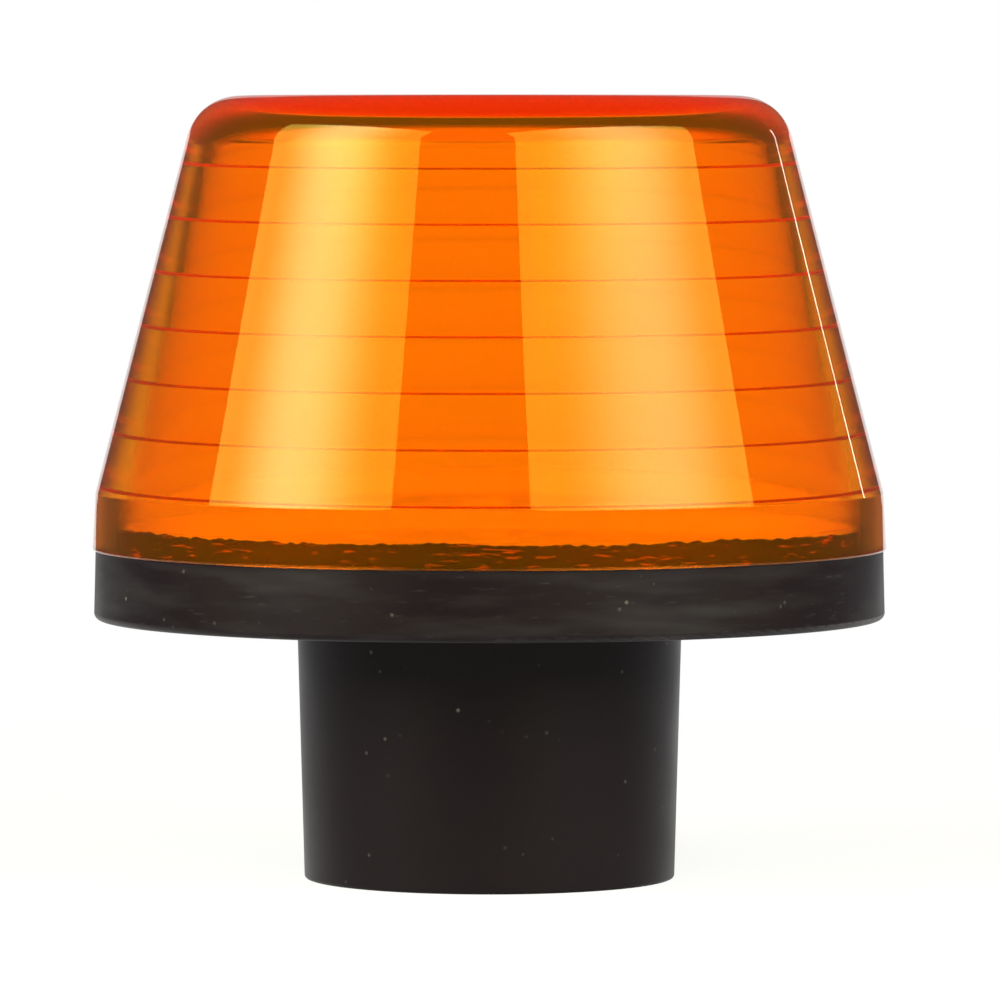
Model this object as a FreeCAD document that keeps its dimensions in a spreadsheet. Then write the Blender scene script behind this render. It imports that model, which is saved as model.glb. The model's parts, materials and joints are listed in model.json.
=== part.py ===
import FreeCAD, Part
import math
import os
import Sketcher

# Warning lamp with its own cells: an orange lens on a round black base, whose tapered spigot holds the cells
# and plugs into a post. Millimetres, +Z up, origin at the middle of the spigot's lower end.

doc = FreeCAD.newDocument("warning_lamp")
sizes = doc.addObject("Spreadsheet::Sheet", "sizes")
layout = doc.addObject("Spreadsheet::Sheet", "layout")

# Driving dimensions, each written once. Angles are in degrees.
DRIVING = [
    # cells and the magazine that holds them
    ("cell_radius", "8.5"),
    ("cell_length", "34.5"),
    ("cell_button_radius", "3"),
    ("cell_button_height", "1"),
    ("cell_edge_round", "0.5"),
    ("cell_play", "0.25"),
    ("cell_web", "1.4"),
    ("magazine_wall", "2"),
    ("magazine_roof", "1.2"),
    ("magazine_play", "0.5"),
    ("magazine_lift", "0.6"),
    ("contact_thickness", "0.5"),
    ("contact_radius", "6"),
    ("ear_thickness", "1.6"),
    ("ear_radius", "2.8"),
    ("ear_count", "3"),
    # screws: the small ones hold the magazine, the others the reflector and the board
    ("thread_play", "0.1"),
    ("shank_play", "0.3"),
    ("pilot_spare", "0.8"),
    ("small_shank_radius", "0.95"),
    ("small_head_radius", "2"),
    ("small_head_height", "1.4"),
    ("small_screw_length", "7.5"),
    ("shank_radius", "1.2"),
    ("head_radius", "2.5"),
    ("head_height", "1.5"),
    ("screw_length", "7"),
    ("screw_sink", "0.2"),
    ("drive_radius", "0.9"),
    ("drive_depth", "0.8"),
    # base housing
    ("tube_wall", "3.5"),
    ("tube_draft", "1.6"),
    ("tube_end_round", "0.5"),
    ("floor_thickness", "3"),
    ("boss_height", "2.9"),
    ("boss_wall", "2.2"),
    ("rim_radius", "60"),
    ("rim_draft", "1.4"),
    ("rim_wall", "3.8"),
    ("rim_edge_round", "1"),
    # lamp board and the light chips
    ("board_thickness", "1.6"),
    ("board_gap", "1.3"),
    ("board_margin", "4.2"),
    ("board_screw_inset", "4.4"),
    ("board_screw_count", "4"),
    ("led_count", "12"),
    ("led_inset", "9"),
    ("led_side", "3.5"),
    ("led_height", "0.9"),
    ("dome_radius", "1.5"),
    # reflector
    ("reflector_plate", "1.2"),
    ("reflector_gap", "0.5"),
    ("reflector_play", "0.2"),
    ("reflector_rim_height", "3.8"),
    ("reflector_rim_wall", "1.2"),
    ("cup_height", "1.8"),
    ("cup_foot_radius", "2.6"),
    ("cup_mouth_radius", "4.5"),
    ("cup_wall", "1"),
    # lens and the bead inside its foot
    ("lens_height", "68.75"),
    ("lens_overhang", "0.2"),
    ("lens_foot_wall", "3.7"),
    ("skirt_height", "8.7"),
    ("skirt_lean", "0.45"),
    ("cone_angle", "14.53"),
    ("corner_round", "8.3"),
    ("lens_top_wall", "4.3"),
    ("inner_round", "4.5"),
    ("ring_pitch", "8.15"),
    ("ring_thick_wall", "4.75"),
    ("ring_thin_wall", "3.7"),
    ("sealant_thickness", "1.1"),
    ("sealant_height", "3.6"),
    ("sealant_play", "0.05"),
    # battery cap
    ("cap_recess", "1"),
    ("cap_fit", "0.1"),
    ("cap_travel", "5"),
    ("cap_plate", "1.6"),
    ("cap_skirt_height", "5.4"),
    ("cap_skirt_wall", "2.2"),
    ("grip_depth", "4"),
    ("grip_wall", "4"),
    ("grip_bar_width", "9"),
    ("grip_round", "0.6"),
    ("seal_section", "0.7"),
    ("seal_play", "0.05"),
    # push button and switch
    ("button_radius", "3.5"),
    ("button_play", "0.1"),
    ("button_guide", "2"),
    ("button_sink", "0.4"),
    ("button_travel", "0.8"),
    ("button_edge_round", "0.4"),
    ("collar_radius", "4.4"),
    ("collar_play", "0.2"),
    ("collar_thickness", "0.8"),
    ("collar_rest_gap", "0.05"),
    ("stub_radius", "1.2"),
    ("button_seal_section", "0.35"),
    ("button_boss_wall", "1.6"),
    ("button_boss_rise", "0.6"),
    ("press_gap", "0.05"),
    ("stem_height", "0.35"),
    ("stem_radius", "1"),
    ("switch_side", "4.5"),
    ("switch_height", "1.6"),
    ("switch_board_radius", "9"),
    ("switch_board_thickness", "1"),
    # contact disc, which slides on a square post
    ("pin_radius", "0.6"),
    ("pin_height", "0.65"),
    ("pin_gap", "0.05"),
    ("inner_track_radius", "5"),
    ("outer_track_radius", "7.8"),
    ("track_width", "1.6"),
    ("track_thickness", "0.3"),
    ("disc_thickness", "1.2"),
    ("disc_gap", "0.8"),
    ("strip_thickness", "0.2"),
    ("strip_width", "6"),
    ("leaf_height", "1.5"),
    ("leaf_thickness", "0.3"),
    ("leaf_width", "5"),
    ("leaf_length", "10"),
    ("leaf_crown", "1.2"),
    ("leaf_foot", "2"),
    ("post_side", "3.6"),
    ("post_play", "0.1"),
    ("post_overlap", "4"),
    # driver parts under the board, and the leads
    ("chip_length", "5"),
    ("chip_width", "4"),
    ("chip_height", "1.5"),
    ("coil_side", "5"),
    ("coil_height", "2.2"),
    ("coil_round", "0.8"),
    ("capacitor_length", "3.2"),
    ("capacitor_width", "1.6"),
    ("capacitor_height", "1.4"),
    ("resistor_length", "2"),
    ("resistor_width", "1.25"),
    ("resistor_height", "0.5"),
    ("lead_radius", "0.6"),
    ("lead_bend", "0.75"),
    ("lead_play", "0.15"),
    ("lead_inset", "2.5"),
    ("lead_stub", "0.3"),
]

# Radii and heights worked out from them.
WORKED_OUT = [
    # radii, from the cells outwards
    ("cell_bore", "sizes.cell_radius + sizes.cell_play"),
    ("cell_ring", "(layout.cell_bore + sizes.cell_web / 2) * sqrt(2)"),
    ("cell_offset", "layout.cell_bore + sizes.cell_web / 2"),
    ("magazine_radius", "layout.cell_ring + layout.cell_bore + sizes.magazine_wall"),
    ("contact_recess", "layout.cell_ring + sizes.contact_radius + sizes.cell_play"),
    ("bore_radius", "layout.magazine_radius + sizes.magazine_play"),
    ("tube_radius", "layout.bore_radius + sizes.tube_wall"),
    # heights, from the cap upwards
    ("grip_floor", "sizes.cap_recess + sizes.grip_depth"),
    ("cap_plate_top", "layout.grip_floor + sizes.cap_plate"),
    ("cap_top", "layout.cap_plate_top + sizes.cap_skirt_height"),
    ("switch_board_bottom", "layout.cap_plate_top + sizes.button_boss_rise"),
    ("switch_board_top", "layout.switch_board_bottom + sizes.switch_board_thickness"),
    ("switch_bottom", "layout.switch_board_bottom - sizes.switch_height"),
    ("stem_bottom", "layout.switch_bottom - sizes.stem_height"),
    ("track_bottom", "layout.switch_board_top + sizes.pin_height + sizes.pin_gap"),
    ("disc_bottom", "layout.track_bottom + sizes.track_thickness"),
    ("disc_top", "layout.disc_bottom + sizes.disc_thickness"),
    ("strip_top", "layout.disc_top + sizes.strip_thickness"),
    ("cell_bottom", "layout.strip_top + sizes.leaf_height"),
    ("cell_top", "layout.cell_bottom + sizes.cell_length"),
    ("contact_top", "layout.cell_top + sizes.contact_thickness"),
    ("magazine_bottom", "layout.cell_bottom + sizes.magazine_lift"),
    ("magazine_top", "layout.contact_top + sizes.magazine_roof"),
    ("post_top", "layout.magazine_bottom + sizes.cap_travel + sizes.post_overlap"),
    ("plate_bottom", "layout.magazine_top + sizes.reflector_gap"),
    ("rim_top", "layout.plate_bottom + sizes.reflector_plate"),
    ("board_top", "layout.plate_bottom - sizes.cup_height"),
    ("board_bottom", "layout.board_top - sizes.board_thickness"),
    ("floor_top", "layout.board_bottom - sizes.boss_height"),
    ("flange_bottom", "layout.floor_top - sizes.floor_thickness"),
    ("lens_top", "layout.rim_top + sizes.lens_height"),
    # the base housing's tapered walls
    ("tube_top_radius", "layout.tube_radius + layout.flange_bottom * tan(sizes.tube_draft * 1 deg)"),
    ("rim_top_radius",
     "sizes.rim_radius - (layout.rim_top - layout.flange_bottom) * tan(sizes.rim_draft * 1 deg)"),
    ("cavity_radius", "sizes.rim_radius - sizes.rim_wall"),
    ("ear_ring", "(layout.bore_radius + layout.tube_top_radius) / 2"),
    # the board and the reflector
    ("board_inner", "layout.ear_ring + sizes.ear_radius + sizes.board_gap"),
    ("board_outer", "layout.cavity_radius - sizes.board_margin"),
    ("board_middle", "(layout.board_inner + layout.board_outer) / 2"),
    ("board_screw_ring", "layout.board_outer - sizes.board_screw_inset"),
    ("led_ring", "layout.board_inner + sizes.led_inset"),
    ("lead_ring", "layout.board_inner + sizes.lead_inset"),
    ("pilot_radius", "sizes.shank_radius + sizes.thread_play"),
    ("small_pilot_radius", "sizes.small_shank_radius + sizes.thread_play"),
    ("board_hole_radius", "sizes.shank_radius + sizes.shank_play"),
    ("head_seat", "layout.rim_top - sizes.screw_sink - sizes.head_height"),
    ("head_pocket_radius", "sizes.head_radius + sizes.shank_play"),
    ("pilot_bottom", "layout.head_seat - sizes.screw_length - sizes.thread_play"),
    ("ear_top", "layout.floor_top + sizes.ear_thickness"),
    # the lens
    ("lens_radius", "sizes.rim_radius + sizes.lens_overhang"),
    ("lens_foot_inner", "layout.lens_radius - sizes.lens_foot_wall"),
    ("cone_foot", "layout.rim_top + sizes.skirt_height"),
    ("cone_radius", "layout.lens_radius - sizes.skirt_lean"),
    ("lens_inner_top", "layout.lens_top - sizes.lens_top_wall"),
    ("sealant_inner", "layout.lens_foot_inner - sizes.sealant_thickness"),
    # the cap, the button and the contact disc
    ("cap_radius", "layout.bore_radius - sizes.cap_fit"),
    ("cap_inner", "layout.cap_radius - sizes.cap_skirt_wall"),
    ("grip_radius", "layout.cap_radius - sizes.grip_wall"),
    ("button_hole", "sizes.button_radius + sizes.button_play"),
    ("collar_hole", "sizes.collar_radius + sizes.collar_play"),
    ("button_boss_radius", "layout.collar_hole + sizes.button_boss_wall"),
    ("guide_top", "sizes.cap_recess + sizes.button_guide"),
    ("seal_height", "layout.grip_floor + sizes.cap_plate / 2"),
    ("seal_ring", "layout.bore_radius - sizes.seal_play - sizes.seal_section"),
    ("seal_groove", "layout.seal_ring - sizes.seal_section - sizes.seal_play"),
    ("button_face", "sizes.cap_recess + sizes.button_sink"),
    ("collar_bottom", "layout.guide_top + sizes.collar_rest_gap"),
    ("collar_top", "layout.collar_bottom + sizes.collar_thickness"),
    ("stub_top", "layout.stem_bottom - sizes.button_travel - sizes.press_gap"),
    ("button_seal_ring", "layout.button_hole - sizes.seal_play - sizes.button_seal_section"),
    ("button_groove", "layout.button_seal_ring - sizes.button_seal_section - sizes.seal_play"),
    ("button_seal_height", "(layout.button_face + layout.collar_bottom) / 2"),
    ("disc_radius", "layout.cap_inner - sizes.disc_gap"),
    ("lead_height", "layout.board_bottom - sizes.lead_radius - sizes.lead_play"),
]


def fill_sheet(sheet, rows, prefix):
    """Writes each name beside its value, and makes the name an alias of the value's cell."""
    for row, (alias, value) in enumerate(rows, start=1):
        sheet.set(f"A{row}", alias)
        sheet.set(f"B{row}", prefix + value)
        sheet.setAlias(f"B{row}", alias)


fill_sheet(sizes, DRIVING, "")
doc.recompute()
for line, (alias_name, formula) in enumerate(WORKED_OUT, start=1):
    layout.set(f"A{line}", alias_name)
    layout.set(f"B{line}", "=" + formula.replace("layout.", ""))
    layout.setAlias(f"B{line}", alias_name)
doc.recompute()


def number(expression):
    """The value of an expression now, used for first guesses and for counting."""
    return float(sizes.evalExpression(str(expression)))


def new_body(name):
    body = doc.addObject("PartDesign::Body", name)
    body.Label = name
    return body


def origin_feature(body, role):
    return next(feature for feature in body.Origin.OriginFeatures if feature.Role == role)


def new_sketch(body, role, offset=None):
    """A sketch on one of the body's own planes, moved along the plane's normal by an expression."""
    sketch = body.newObject("Sketcher::SketchObject", "sketch")
    sketch.AttachmentSupport = [(origin_feature(body, role), "")]
    sketch.MapMode = "FlatFace"
    if offset is not None:
        sketch.setExpression("AttachmentOffset.Base.z", offset)
    return sketch


def bind(sketch, kind, references, expression):
    """Adds one constraint and ties its value to an expression."""
    index = sketch.addConstraint(Sketcher.Constraint(kind, *references, number(expression)))
    constraint = f"bound{index}"
    sketch.renameConstraint(index, constraint)
    sketch.setExpression(f"Constraints.{constraint}", expression)


def locate(sketch, geometry, point, place):
    """Ties a point to a pair of expressions, measured from the sketch's origin. "0" puts it on the axis."""
    for kind, axis, expression in (("DistanceX", -2, place[0]), ("DistanceY", -1, place[1])):
        if expression == "0":
            sketch.addConstraint(Sketcher.Constraint("PointOnObject", geometry, point, axis))
        else:
            bind(sketch, kind, (-1, 1, geometry, point), expression)


def outline(sketch, corners):
    """Draws a closed outline of straight edges through corners given as pairs of expressions."""
    spots = [FreeCAD.Vector(number(x), number(y), 0) for x, y in corners]
    edges = []
    for index, spot in enumerate(spots):
        following = spots[(index + 1) % len(spots)]
        edges.append(sketch.addGeometry(Part.LineSegment(spot, following)))
    for index, edge in enumerate(edges):
        following = edges[(index + 1) % len(edges)]
        sketch.addConstraint(Sketcher.Constraint("Coincident", edge, 2, following, 1))
    for edge, corner in zip(edges, corners):
        locate(sketch, edge, 1, corner)


def circle(sketch, place, radius):
    centre = FreeCAD.Vector(number(place[0]), number(place[1]), 0)
    edge = sketch.addGeometry(Part.Circle(centre, FreeCAD.Vector(0, 0, 1), number(radius)))
    bind(sketch, "Radius", (edge,), radius)
    locate(sketch, edge, 3, place)


def revolve(body, corners, cut=False):
    """Turns an outline, given as radius and height, once round the body's Z axis."""
    sketch = new_sketch(body, "XZ_Plane")
    outline(sketch, corners)
    kind = "PartDesign::Groove" if cut else "PartDesign::Revolution"
    feature = body.newObject(kind, "turned")
    feature.Profile = sketch
    feature.ReferenceAxis = (sketch, ["V_Axis"])
    feature.Angle = 360
    return feature


def revolve_ring(body, ring, height, section, cut=False):
    """Turns a round section once round the Z axis."""
    sketch = new_sketch(body, "XZ_Plane")
    circle(sketch, (ring, height), section)
    feature = body.newObject("PartDesign::Groove" if cut else "PartDesign::Revolution", "ring")
    feature.Profile = sketch
    feature.ReferenceAxis = (sketch, ["V_Axis"])
    feature.Angle = 360
    return feature


def raise_up(body, sketch, length, cut=False):
    """Pads a level sketch upwards, or cuts upwards from it."""
    feature = body.newObject("PartDesign::Pocket" if cut else "PartDesign::Pad", "raised")
    feature.Profile = sketch
    feature.setExpression("Length", length)
    feature.Reversed = cut
    return feature


def disc_between(body, place, radius, low, high, cut=False):
    """Adds or cuts an upright cylinder between two heights."""
    sketch = new_sketch(body, "XY_Plane", low)
    circle(sketch, place, radius)
    return raise_up(body, sketch, f"{high} - ({low})", cut)


def block_between(body, middle, length, width, low, high, cut=False):
    """Adds or cuts an upright block between two heights, centred on a place given as a pair."""
    sketch = new_sketch(body, "XY_Plane", low)
    near = (f"{middle[0]} - {length} / 2", f"{middle[1]} - {width} / 2")
    far = (f"{middle[0]} + {length} / 2", f"{middle[1]} + {width} / 2")
    outline(sketch, [near, (far[0], near[1]), far, (near[0], far[1])])
    return raise_up(body, sketch, f"{high} - ({low})", cut)


def around(body, features, count):
    """Repeats features evenly round the Z axis."""
    pattern = body.newObject("PartDesign::PolarPattern", "pattern")
    pattern.Originals = features
    pattern.Axis = (origin_feature(body, "Z_Axis"), [""])
    pattern.Angle = 360
    pattern.setExpression("Occurrences", count)
    body.Tip = pattern
    return pattern


def is_ring(radius, height):
    """A test for the whole circle of that radius about the Z axis, at that height."""
    wanted_radius = number(radius)
    wanted_height = number(height)

    def test(edge):
        curve = edge.Curve
        if not isinstance(curve, Part.Circle):
            return False
        off_axis = math.hypot(curve.Center.x, curve.Center.y)
        same_size = abs(curve.Radius - wanted_radius) < 0.01
        return same_size and off_axis < 0.01 and abs(curve.Center.z - wanted_height) < 0.01

    return test


def round_edges(body, tests, radius):
    """Rounds the edges of the body's last feature that pass one of the tests."""
    doc.recompute()
    base = body.Tip
    names = []
    for index, edge in enumerate(base.Shape.Edges, start=1):
        if any(test(edge) for test in tests):
            names.append(f"Edge{index}")
    fillet = body.newObject("PartDesign::Fillet", "rounding")
    fillet.Base = (base, names)
    fillet.setExpression("Radius", radius)
    return fillet


def polar(ring, angle):
    """The place on a ring at an angle in degrees, as a pair of expressions."""
    return f"{ring} * cos({angle} * 1 deg)", f"{ring} * sin({angle} * 1 deg)"


def turn(body, angle):
    """Turns a finished body about the Z axis, by an angle in degrees."""
    body.Placement = FreeCAD.Placement(FreeCAD.Vector(), FreeCAD.Rotation(FreeCAD.Vector(0, 0, 1), angle))


# Where things stand round the Z axis, in degrees
BOARD_SCREW_ANGLE = 15
EAR_ANGLE = 0
POSITIVE_LEAD_ANGLE = 60
NEGATIVE_LEAD_ANGLE = 300
CHIP_ANGLE = 240
COIL_ANGLE = 262
CAPACITOR_ANGLES = (222, 228, 276)
RESISTOR_ANGLES = (250, 254, 330, 335, 60, 65)


def build_base_housing():
    """The black moulding: a tapered tube, a floor and a rim, with bosses for the screws."""
    body = new_body("base_housing")
    revolve(body, [
        ("layout.bore_radius", "0"),
        ("layout.tube_radius", "0"),
        ("layout.tube_top_radius", "layout.flange_bottom"),
        ("sizes.rim_radius", "layout.flange_bottom"),
        ("layout.rim_top_radius", "layout.rim_top"),
        ("layout.cavity_radius", "layout.rim_top"),
        ("layout.cavity_radius", "layout.floor_top"),
        ("layout.bore_radius", "layout.floor_top"),
    ])
    screw = polar("layout.board_screw_ring", BOARD_SCREW_ANGLE)
    boss_radius = "layout.pilot_radius + sizes.boss_wall"
    boss = disc_between(body, screw, boss_radius, "layout.floor_top", "layout.board_bottom")
    pilot = disc_between(body, screw, "layout.pilot_radius", "layout.pilot_bottom", "layout.board_bottom", True)
    around(body, [boss, pilot], "sizes.board_screw_count")
    small_pilot_bottom = "layout.ear_top - sizes.small_screw_length - sizes.pilot_spare"
    ear = polar("layout.ear_ring", EAR_ANGLE)
    small_pilot = disc_between(
        body, ear, "layout.small_pilot_radius", small_pilot_bottom, "layout.floor_top", True)
    around(body, [small_pilot], "sizes.ear_count")
    round_edges(body, [is_ring("sizes.rim_radius", "layout.flange_bottom")], "sizes.rim_edge_round")
    round_edges(body, [is_ring("layout.tube_radius", "0")], "sizes.tube_end_round")
    return body


def lens_radius_at(height):
    """The cone's outer radius at a height, as an expression."""
    return f"layout.cone_radius - ({height} - layout.cone_foot) * tan(sizes.cone_angle * 1 deg)"


def build_lens():
    """The orange moulding. Its wall is stepped inside: in each band it thins upwards, to a ledge that faces
    down, where it starts thick again."""
    body = new_body("lens")
    stepped_height = number("layout.lens_inner_top - sizes.inner_round - layout.cone_foot")
    ring_count = math.floor(stepped_height / number("sizes.ring_pitch")) + 1
    inner_wall = [("layout.lens_foot_inner", "layout.rim_top")]
    for ring in range(ring_count):
        height = f"(layout.cone_foot + {ring} * sizes.ring_pitch)"
        inner_wall.append((f"{lens_radius_at(height)} - sizes.ring_thin_wall", height))
        inner_wall.append((f"{lens_radius_at(height)} - sizes.ring_thick_wall", height))
    band_lean = "(sizes.ring_thick_wall - sizes.ring_thin_wall) / sizes.ring_pitch"
    band_height = f"(layout.lens_inner_top - {height})"
    last_radius = f"{lens_radius_at('layout.lens_inner_top')} - sizes.ring_thick_wall + {band_height} * {band_lean}"
    outer_wall = [
        ("0", "layout.lens_inner_top"),
        ("0", "layout.lens_top"),
        (lens_radius_at("layout.lens_top"), "layout.lens_top"),
        ("layout.cone_radius", "layout.cone_foot"),
        ("layout.lens_radius", "layout.rim_top"),
    ]
    revolve(body, inner_wall + [(last_radius, "layout.lens_inner_top")] + outer_wall)
    round_edges(body, [is_ring(lens_radius_at("layout.lens_top"), "layout.lens_top")], "sizes.corner_round")
    round_edges(body, [is_ring(last_radius, "layout.lens_inner_top")], "sizes.inner_round")
    return body


def build_lens_sealant():
    """The bead between the foot of the lens and the reflector's rim."""
    body = new_body("lens_sealant")
    lean = "sizes.sealant_height * (layout.lens_foot_inner - (layout.cone_radius - sizes.ring_thin_wall))"
    top = "layout.rim_top + sizes.sealant_height"
    outer = "layout.lens_foot_inner - sizes.sealant_play"
    revolve(body, [
        ("layout.sealant_inner", "layout.rim_top"),
        (outer, "layout.rim_top"),
        (f"{outer} - {lean} / sizes.skirt_height", top),
        ("layout.sealant_inner", top),
    ])
    return body


def build_reflector():
    """The white tray: a plate with an upstanding rim, a cup for each light and a leg at each screw."""
    body = new_body("reflector")
    rim_top = "layout.rim_top + sizes.reflector_rim_height"
    rim_inner = "layout.sealant_inner - sizes.reflector_rim_wall"
    plate_radius = "layout.cavity_radius - sizes.reflector_play"
    revolve(body, [
        ("0", "layout.plate_bottom"),
        (plate_radius, "layout.plate_bottom"),
        (plate_radius, "layout.rim_top"),
        ("layout.sealant_inner", "layout.rim_top"),
        ("layout.sealant_inner", rim_top),
        (rim_inner, rim_top),
        (rim_inner, "layout.rim_top"),
        ("0", "layout.rim_top"),
    ])
    cup_height = "layout.rim_top - layout.board_top"
    widening = f"(sizes.cup_mouth_radius - sizes.cup_foot_radius) / ({cup_height})"
    cup = body.newObject("PartDesign::AdditiveCone", "cup")
    cup.AttachmentSupport = [(origin_feature(body, "XY_Plane"), "")]
    cup.MapMode = "FlatFace"
    cup.setExpression("AttachmentOffset.Base.x", "layout.led_ring")
    cup.setExpression("AttachmentOffset.Base.z", "layout.board_top")
    cup.setExpression("Radius1", "sizes.cup_foot_radius + sizes.cup_wall")
    cup.setExpression("Radius2", f"sizes.cup_foot_radius + sizes.cup_wall + sizes.cup_height * {widening}")
    cup.setExpression("Height", "sizes.cup_height")
    hollow = body.newObject("PartDesign::SubtractiveCone", "cup_hollow")
    hollow.AttachmentSupport = [(origin_feature(body, "XY_Plane"), "")]
    hollow.MapMode = "FlatFace"
    hollow.setExpression("AttachmentOffset.Base.x", "layout.led_ring")
    hollow.setExpression("AttachmentOffset.Base.z", "layout.board_top")
    hollow.setExpression("Radius1", "sizes.cup_foot_radius")
    hollow.setExpression("Radius2", "sizes.cup_mouth_radius")
    hollow.setExpression("Height", cup_height)
    around(body, [cup, hollow], "sizes.led_count")
    screw = polar("layout.board_screw_ring", BOARD_SCREW_ANGLE)
    leg_radius = "layout.head_pocket_radius + sizes.cup_wall"
    leg = disc_between(body, screw, leg_radius, "layout.board_top", "layout.plate_bottom")
    hole = disc_between(body, screw, "layout.board_hole_radius", "layout.board_top", "layout.head_seat", True)
    pocket = disc_between(body, screw, "layout.head_pocket_radius", "layout.head_seat", "layout.rim_top", True)
    around(body, [leg, hole, pocket], "sizes.board_screw_count")
    return body


def build_led_board():
    """The ring-shaped board, with holes for the screws and the two leads."""
    body = new_body("led_board")
    revolve(body, [
        ("layout.board_inner", "layout.board_bottom"),
        ("layout.board_outer", "layout.board_bottom"),
        ("layout.board_outer", "layout.board_top"),
        ("layout.board_inner", "layout.board_top"),
    ])
    screw = polar("layout.board_screw_ring", BOARD_SCREW_ANGLE)
    hole = disc_between(
        body, screw, "layout.board_hole_radius", "layout.board_bottom", "layout.board_top", True)
    around(body, [hole], "sizes.board_screw_count")
    for angle in (POSITIVE_LEAD_ANGLE, NEGATIVE_LEAD_ANGLE):
        disc_between(
            body, polar("layout.lead_ring", angle), "sizes.lead_radius + sizes.lead_play", "layout.board_bottom", "layout.board_top", True)
    return body


def build_led_packages():
    body = new_body("led_packages")
    chip_top = "layout.board_top + sizes.led_height"
    chip = block_between(
        body, ("layout.led_ring", "0 * sizes.led_side"), "sizes.led_side", "sizes.led_side",
        "layout.board_top", chip_top)
    around(body, [chip], "sizes.led_count")
    return body


def build_led_domes():
    body = new_body("led_domes")
    dome = body.newObject("PartDesign::AdditiveSphere", "dome")
    dome.AttachmentSupport = [(origin_feature(body, "XY_Plane"), "")]
    dome.MapMode = "FlatFace"
    dome.setExpression("AttachmentOffset.Base.x", "layout.led_ring")
    dome.setExpression("AttachmentOffset.Base.z", "layout.board_top + sizes.led_height")
    dome.setExpression("Radius", "sizes.dome_radius")
    dome.Angle1 = 0
    around(body, [dome], "sizes.led_count")
    return body


def build_screws(name, ring, angle, count, seat, shank_radius, head_radius, head_height, length):
    """Pan-headed screws, heads up, each with a plain hexagonal drive."""
    body = new_body(name)
    place = polar(ring, angle)
    head_top = f"{seat} + {head_height}"
    head = disc_between(body, place, head_radius, seat, head_top)
    shank = disc_between(body, place, shank_radius, f"{seat} - {length}", seat)
    sketch = new_sketch(body, "XY_Plane", f"{head_top} - sizes.drive_depth")
    corners = []
    for corner in range(6):
        outward, sideways = polar("sizes.drive_radius", 60 * corner)
        corners.append((f"{place[0]} + {outward}", f"{place[1]} + {sideways}"))
    outline(sketch, corners)
    drive = raise_up(body, sketch, "sizes.drive_depth", True)
    around(body, [head, shank, drive], count)
    return body


def build_board_part(name, angles, length, width, height, rounding=None):
    """Boxed parts soldered under the board, each at its own angle."""
    body = new_body(name)
    for angle in angles:
        sketch = new_sketch(body, "XY_Plane", f"layout.board_bottom - {height}")
        corners = []
        for along, across in ((-1, -1), (1, -1), (1, 1), (-1, 1)):
            outward = f"(layout.board_middle + {along} * {length} / 2)"
            sideways = f"({across} * {width} / 2)"
            corners.append((f"{outward} * cos({angle} * 1 deg) - {sideways} * sin({angle} * 1 deg)",
                            f"{outward} * sin({angle} * 1 deg) + {sideways} * cos({angle} * 1 deg)"))
        outline(sketch, corners)
        raise_up(body, sketch, height)
    if rounding is not None:
        round_edges(body, [lambda edge: abs(edge.tangentAt(edge.FirstParameter).z) > 0.99], rounding)
    return body


def build_cell_magazine():
    """Four bores side by side under a roof, with a square guide in the middle and ears for the screws."""
    body = new_body("cell_magazine")
    disc_between(body, ("0", "0"), "layout.magazine_radius", "layout.magazine_bottom", "layout.magazine_top")
    ear = new_sketch(body, "XY_Plane", "layout.floor_top")
    outline(ear, [
        ("layout.magazine_radius - sizes.magazine_wall", "-sizes.ear_radius"),
        ("layout.ear_ring", "-sizes.ear_radius"),
        ("layout.ear_ring", "sizes.ear_radius"),
        ("layout.magazine_radius - sizes.magazine_wall", "sizes.ear_radius"),
    ])
    strap = raise_up(body, ear, "sizes.ear_thickness")
    place = polar("layout.ear_ring", EAR_ANGLE)
    end = disc_between(body, place, "sizes.ear_radius", "layout.floor_top", "layout.ear_top")
    hole_radius = "sizes.small_shank_radius + sizes.shank_play"
    hole = disc_between(body, place, hole_radius, "layout.floor_top", "layout.ear_top", True)
    around(body, [strap, end, hole], "sizes.ear_count")
    bore_sketch = new_sketch(body, "XY_Plane", "layout.magazine_bottom")
    for side in ("", "-"):
        for end_side in ("", "-"):
            circle(bore_sketch, (f"{side}layout.cell_offset", f"{end_side}layout.cell_offset"), "layout.cell_bore")
    raise_up(body, bore_sketch, "layout.cell_top - layout.magazine_bottom", True)
    disc_between(body, ("0", "0"), "layout.contact_recess", "layout.cell_top", "layout.contact_top", True)
    guide_side = "(sizes.post_side + 2 * sizes.post_play)"
    middle = ("0 * sizes.post_side", "0 * sizes.post_side")
    block_between(body, middle, guide_side, guide_side, "layout.magazine_bottom", "layout.cell_top", True)
    return body


def build_cell(name, side, end_side, upright):
    """One cell. Half of them stand on their heads, so that a strip can join each pair in series."""
    body = new_body(name)
    place = (f"{side}layout.cell_offset", f"{end_side}layout.cell_offset")
    can_bottom = "layout.cell_bottom"
    can_top = "layout.cell_top - sizes.cell_button_height"
    button = ("layout.cell_top - sizes.cell_button_height", "layout.cell_top")
    if not upright:
        can_bottom = "layout.cell_bottom + sizes.cell_button_height"
        can_top = "layout.cell_top"
        button = ("layout.cell_bottom", "layout.cell_bottom + sizes.cell_button_height")
    disc_between(body, place, "sizes.cell_radius", can_bottom, can_top)
    wanted = number("sizes.cell_radius")
    round_edges(body, [lambda edge: isinstance(edge.Curve, Part.Circle) and abs(edge.Curve.Radius - wanted) < 0.01],
                "sizes.cell_edge_round")
    disc_between(body, place, "sizes.cell_button_radius", *button)
    return body


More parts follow.
